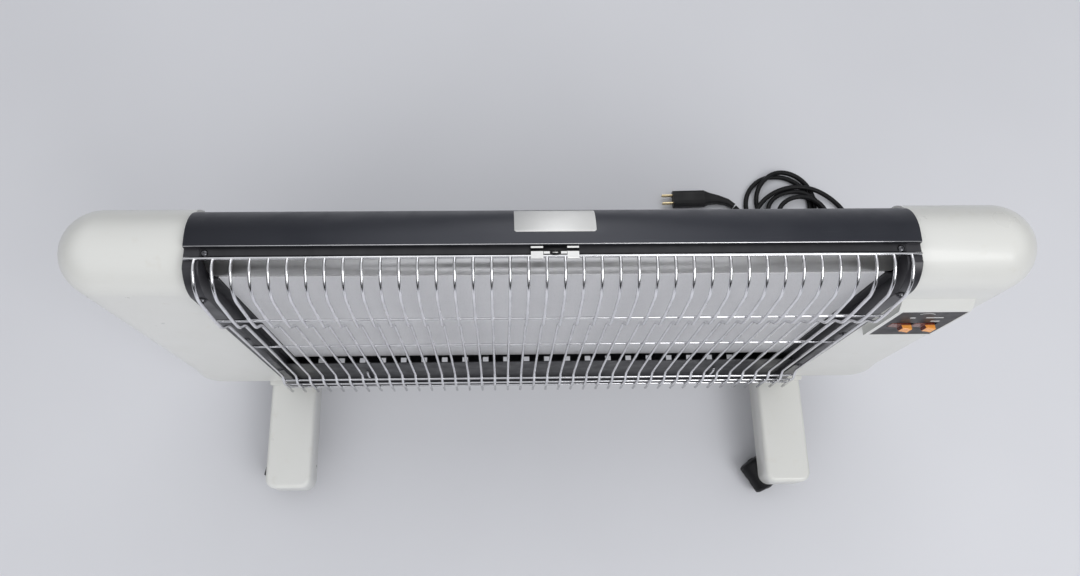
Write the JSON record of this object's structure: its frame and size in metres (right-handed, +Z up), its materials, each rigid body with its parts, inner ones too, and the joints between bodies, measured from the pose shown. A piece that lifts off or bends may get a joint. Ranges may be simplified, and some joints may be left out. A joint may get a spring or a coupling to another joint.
{
  "type": "far-infrared panel heater",
  "caption": "Wide floor-standing radiant panel heater with white end covers, wire guard, rocker switches, two feet on twin-wheel casters and a coiled mains cord.",
  "frame": {"origin": "on the floor, under the middle of the heater's box without its cord", "axes": "+X along the width towards the switches, +Y towards the back, +Z up; the radiant panel faces -Y"},
  "size_m": [0.917, 0.4803, 0.4915],
  "materials": {
    "black_plastic": "satin black",
    "blade_brass": "bright",
    "board_fibre": "pressed fibre board",
    "bright_metal": "bright",
    "ceramic": "unglazed",
    "charcoal_paint": "satin charcoal",
    "chrome": "bright plated wire",
    "cord_black": "satin black",
    "grey_paint": "satin grey",
    "label_white": "blank sticker",
    "orange_plastic": "clear orange",
    "panel_coat": "fine grained silver-grey coat",
    "steel_sheath": "dull heater sheath",
    "white_paint": "satin off-white",
    "white_plastic": "satin off-white"
  },
  "bodies": {
    "heater": {"side_cover_left": "white_plastic", "side_cover_right": "white_plastic", "top_cover": "charcoal_paint", "rear_cover": "charcoal_paint", "bottom_plate": "grey_paint", "lower_front_rail": "grey_paint", "top_rail": "charcoal_paint", "cheek_left": "grey_paint", "cheek_right": "grey_paint", "heater_panel": "panel_coat", "panel_strip_left": "grey_paint", "panel_strip_right": "grey_paint", "reflector_strip": "bright_metal", "rear_reflector": "bright_metal", "insulation_board": "board_fibre", "heater_element_lower": "steel_sheath", "heater_element_upper": "steel_sheath", "wire_guard": "chrome", "guard_clip": "black_plastic", "cover_screw_left": "chrome", "cover_screw_right": "chrome", "switch_box": "white_plastic", "switch_plate": "black_plastic", "switch_housing_left": "black_plastic", "switch_housing_right": "black_plastic", "thermostat": "ceramic", "thermal_fuse": "ceramic", "tip_over_switch": "black_plastic", "terminal_block": "ceramic", "foot_left": "white_plastic", "foot_right": "white_plastic", "foot_bracket_left": "white_paint", "foot_bracket_right": "white_paint", "label_blank": "label_white", "cord_gland": "black_plastic", "power_cord": "cord_black", "cord_lead": "cord_black", "cord_coil": "cord_black", "plug_body": "black_plastic", "plug_blade_a": "blade_brass", "plug_blade_b": "blade_brass"},
    "rocker_left": {"switch_rocker_left": "orange_plastic"},
    "rocker_right": {"switch_rocker_right": "orange_plastic"},
    "swivel_front_right": {"caster_front_right": "black_plastic", "axle_front_right": "chrome"},
    "roller_front_right_a": {"wheel_front_right_a": "black_plastic"},
    "roller_front_right_b": {"wheel_front_right_b": "black_plastic"},
    "swivel_front_left": {"caster_front_left": "black_plastic", "axle_front_left": "chrome"},
    "roller_front_left_a": {"wheel_front_left_a": "black_plastic"},
    "roller_front_left_b": {"wheel_front_left_b": "black_plastic"},
    "swivel_rear_right": {"caster_rear_right": "black_plastic", "axle_rear_right": "chrome"},
    "roller_rear_right_a": {"wheel_rear_right_a": "black_plastic"},
    "roller_rear_right_b": {"wheel_rear_right_b": "black_plastic"},
    "swivel_rear_left": {"caster_rear_left": "black_plastic", "axle_rear_left": "chrome"},
    "roller_rear_left_a": {"wheel_rear_left_a": "black_plastic"},
    "roller_rear_left_b": {"wheel_rear_left_b": "black_plastic"}
  },
  "joints": [
    {"name": "rocker_left_tilt", "type": "hinge", "parent": "heater", "child": "rocker_left", "pos_m": [0.3565, -0.0045, 0.358], "axis": [0, 0, 1], "range_deg": [0, 20]},
    {"name": "rocker_right_tilt", "type": "hinge", "parent": "heater", "child": "rocker_right", "pos_m": [0.3805, -0.0045, 0.358], "axis": [0, 0, 1], "range_deg": [0, 20]},
    {"name": "swivel_front_right_turn", "type": "hinge", "parent": "heater", "child": "swivel_front_right", "pos_m": [0.3194, -0.1065, 0.05], "axis": [0, 0, 1], "continuous": true},
    {"name": "roller_front_right_a_spin", "type": "hinge", "parent": "swivel_front_right", "child": "roller_front_right_a", "pos_m": [0.30063, -0.11798, 0.019], "axis": [0.522, -0.853, 0], "continuous": true},
    {"name": "roller_front_right_b_spin", "type": "hinge", "parent": "swivel_front_right", "child": "roller_front_right_b", "pos_m": [0.30063, -0.11798, 0.019], "axis": [0.522, -0.853, 0], "continuous": true},
    {"name": "swivel_front_left_turn", "type": "hinge", "parent": "heater", "child": "swivel_front_left", "pos_m": [-0.3194, -0.1065, 0.05], "axis": [0, 0, 1], "continuous": true},
    {"name": "roller_front_left_a_spin", "type": "hinge", "parent": "swivel_front_left", "child": "roller_front_left_a", "pos_m": [-0.34074, -0.10115, 0.019], "axis": [-0.243, -0.97, 0], "continuous": true},
    {"name": "roller_front_left_b_spin", "type": "hinge", "parent": "swivel_front_left", "child": "roller_front_left_b", "pos_m": [-0.34074, -0.10115, 0.019], "axis": [-0.243, -0.97, 0], "continuous": true},
    {"name": "swivel_rear_right_turn", "type": "hinge", "parent": "heater", "child": "swivel_rear_right", "pos_m": [0.3194, 0.1144, 0.05], "axis": [0, 0, 1], "continuous": true},
    {"name": "roller_rear_right_a_spin", "type": "hinge", "parent": "swivel_rear_right", "child": "roller_rear_right_a", "pos_m": [0.34008, 0.1069, 0.019], "axis": [0.341, 0.9401, 0], "continuous": true},
    {"name": "roller_rear_right_b_spin", "type": "hinge", "parent": "swivel_rear_right", "child": "roller_rear_right_b", "pos_m": [0.34008, 0.1069, 0.019], "axis": [0.341, 0.9401, 0], "continuous": true},
    {"name": "swivel_rear_left_turn", "type": "hinge", "parent": "heater", "child": "swivel_rear_left", "pos_m": [-0.3194, 0.1144, 0.05], "axis": [0, 0, 1], "continuous": true},
    {"name": "roller_rear_left_a_spin", "type": "hinge", "parent": "swivel_rear_left", "child": "roller_rear_left_a", "pos_m": [-0.30116, 0.1021, 0.019], "axis": [0.5591, 0.8291, 0], "continuous": true},
    {"name": "roller_rear_left_b_spin", "type": "hinge", "parent": "swivel_rear_left", "child": "roller_rear_left_b", "pos_m": [-0.30116, 0.1021, 0.019], "axis": [0.5591, 0.8291, 0], "continuous": true}
  ]
}
